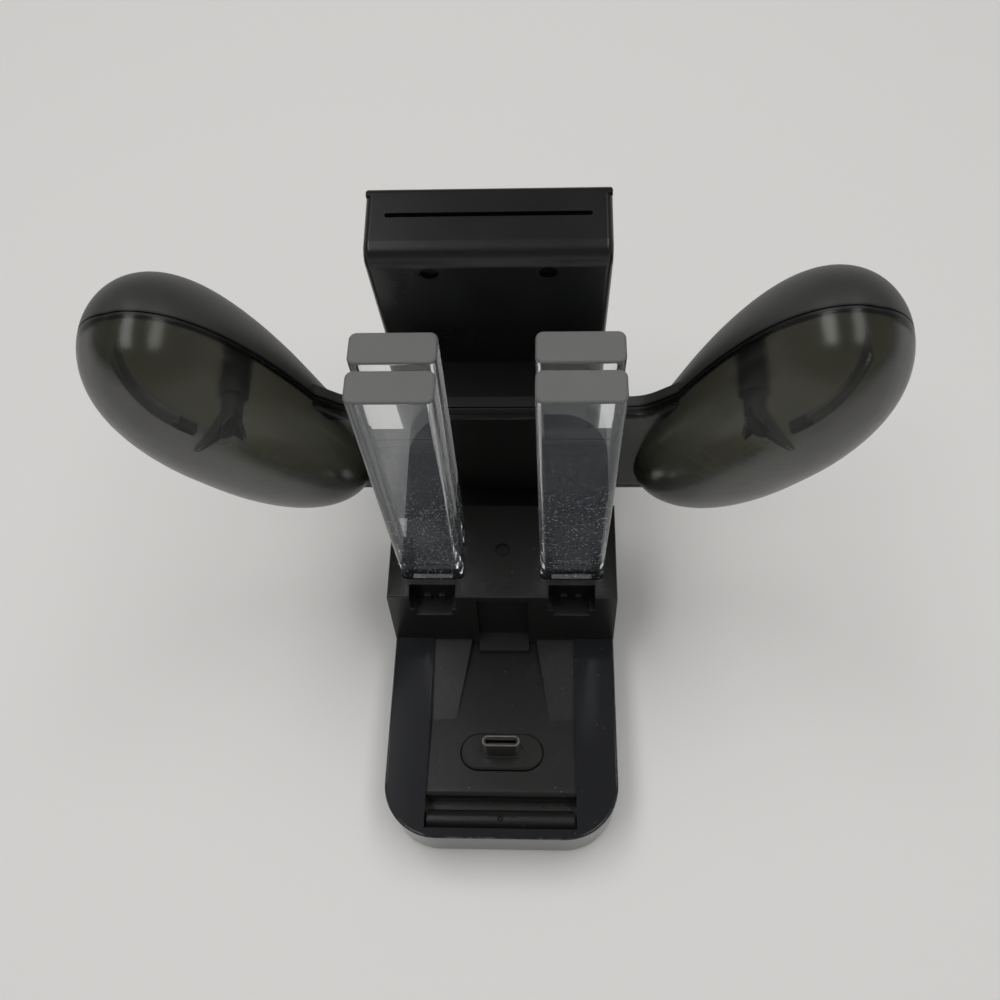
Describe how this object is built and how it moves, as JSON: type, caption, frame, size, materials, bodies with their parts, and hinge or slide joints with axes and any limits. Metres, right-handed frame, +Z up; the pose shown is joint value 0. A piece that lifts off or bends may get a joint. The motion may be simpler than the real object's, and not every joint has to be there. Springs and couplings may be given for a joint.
{
  "type": "controller charging dock",
  "caption": "Desk charging dock for game controllers: a tray with an upright plug, clear hollow columns on a stepped tower, and a two-handled grip standing upside down in the rear cradle",
  "frame": {"origin": "On the desk, under the middle of the dock", "axes": "+X to the right across the handles, +Y from the tray to the cradle, +Z up"},
  "size_m": [0.1472, 0.112, 0.1123],
  "materials": {
    "charcoal_shell": "fine matte moulded texture",
    "charcoal_trim": "smooth matte",
    "foot_rubber": "soft matte rubber",
    "screw_steel": "blackened steel",
    "board_green": "solder-masked board",
    "plug_metal": "nickel plated",
    "plug_black": "moulded, matte",
    "contact_brass": "gold flashed",
    "lamp_white": "clear cast over white",
    "lens_grey": "diffusing lens, unlit",
    "clear_column": "clear polycarbonate, polished",
    "grip_black": "satin",
    "rail_black": "satin",
    "grip_charcoal": "satin",
    "smoke_clear": "smoke-tinted translucent, gloss"
  },
  "bodies": {
    "root": {"base_shell": "charcoal_shell", "tower_shell": "charcoal_shell", "bottom_cover": "charcoal_shell", "plug_carrier": "charcoal_trim", "rubber_feet": "foot_rubber", "bottom_screws": "screw_steel", "plate_screws": "screw_steel", "handle_screws": "screw_steel", "main_board": "board_green", "plug_board": "board_green", "lamp_board": "board_green", "grip_board": "board_green", "power_inlet": "plug_metal", "grip_port": "plug_metal", "tray_plug_shell": "plug_metal", "cradle_plug_shell": "plug_metal", "tray_plug_insert": "plug_black", "cradle_plug_insert": "plug_black", "charge_contacts": "contact_brass", "column_lamps": "lamp_white", "indicator_lens": "lens_grey", "column_left_front": "clear_column", "column_left_rear": "clear_column", "column_right_front": "clear_column", "column_right_rear": "clear_column", "grip_plate_cover": "grip_black", "grip_face_cover": "grip_black", "grip_rail_left": "rail_black", "grip_rail_right": "rail_black", "grip_front_shell": "grip_charcoal", "grip_back_shell": "smoke_clear"}
  },
  "joints": []
}
